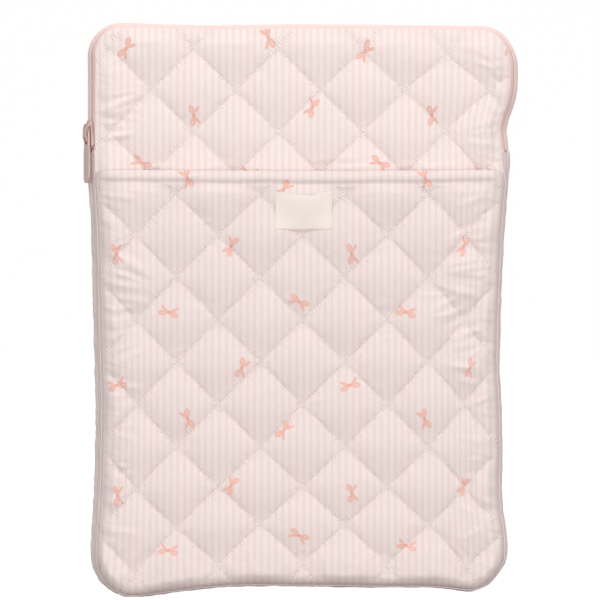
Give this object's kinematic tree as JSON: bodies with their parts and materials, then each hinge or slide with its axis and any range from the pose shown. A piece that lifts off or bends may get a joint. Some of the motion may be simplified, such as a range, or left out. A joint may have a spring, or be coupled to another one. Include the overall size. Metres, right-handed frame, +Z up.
{
  "type": "laptop sleeve",
  "caption": "Padded diamond-quilted fabric laptop sleeve standing upright, with a zip round the top, a fold-down upper front, a flat open front pocket and a slider with a hanging pull.",
  "frame": {"origin": "bottom centre of the whole box, the sleeve standing on its bottom edge", "axes": "+X to the viewer's right, front face with the pocket towards -Y, +Z up to the zipped edge"},
  "size_m": [0.265, 0.0304, 0.35],
  "materials": {
    "printed_cotton": "matte woven cotton, fine vertical pinstripe with small scattered bows",
    "wadding": "soft fibre padding, hidden",
    "lining_cloth": "plain matte lining",
    "binding_cloth": "plain matte seam binding",
    "thread": "sewing thread",
    "label_cloth": "ivory woven label, blank",
    "zip_tape": "dusty pink woven tape",
    "zip_coil": "nylon coil",
    "slider_metal": "satin rose-tinted metal"
  },
  "bodies": {
    "sleeve": {"back_face_fabric": "printed_cotton", "back_wadding": "wadding", "back_lining": "lining_cloth", "back_quilting_thread": "thread", "back_seam_binding": "binding_cloth", "front_face_fabric": "printed_cotton", "front_wadding": "wadding", "front_lining": "lining_cloth", "front_quilting_thread": "thread", "front_seam_binding": "binding_cloth", "pocket_face_fabric": "printed_cotton", "pocket_wadding": "wadding", "pocket_lining": "lining_cloth", "pocket_quilting_thread": "thread", "pocket_hem_band": "printed_cotton", "pocket_hem_stitching": "thread", "woven_label": "label_cloth", "label_stitching": "thread", "side_gusset": "printed_cotton", "gusset_lining": "lining_cloth", "zip_tape_back": "zip_tape", "zip_coil_back": "zip_coil", "zip_tape_end_left": "zip_tape", "zip_tape_end_right": "zip_tape", "zip_coil_end_left": "zip_coil", "zip_coil_end_right": "zip_coil", "zip_stop_left": "slider_metal", "zip_stop_right": "slider_metal"},
    "flap": {"flap_face_fabric": "printed_cotton", "flap_wadding": "wadding", "flap_lining": "lining_cloth", "flap_quilting_thread": "thread", "flap_seam_binding": "binding_cloth", "zip_tape_front": "zip_tape", "zip_coil_front": "zip_coil"},
    "slider": {"slider_body": "slider_metal", "slider_bridge": "slider_metal"},
    "pull": {"pull_tab": "slider_metal"}
  },
  "joints": [
    {"name": "flap_fold", "type": "hinge", "parent": "sleeve", "child": "flap", "pos_m": [0.00146, -0.00658, 0.294], "axis": [1, 0, 0], "range_deg": [0, 135]},
    {"name": "zip_slide", "type": "slide", "parent": "sleeve", "child": "slider", "axis": [0, 0, 1], "range_m": [0, 0.032]},
    {"name": "pull_swing", "type": "hinge", "parent": "slider", "child": "pull", "pos_m": [-0.1299, -0.001, 0.283], "axis": [-0.5, 0.866, 0], "range_deg": [0, 165]}
  ]
}
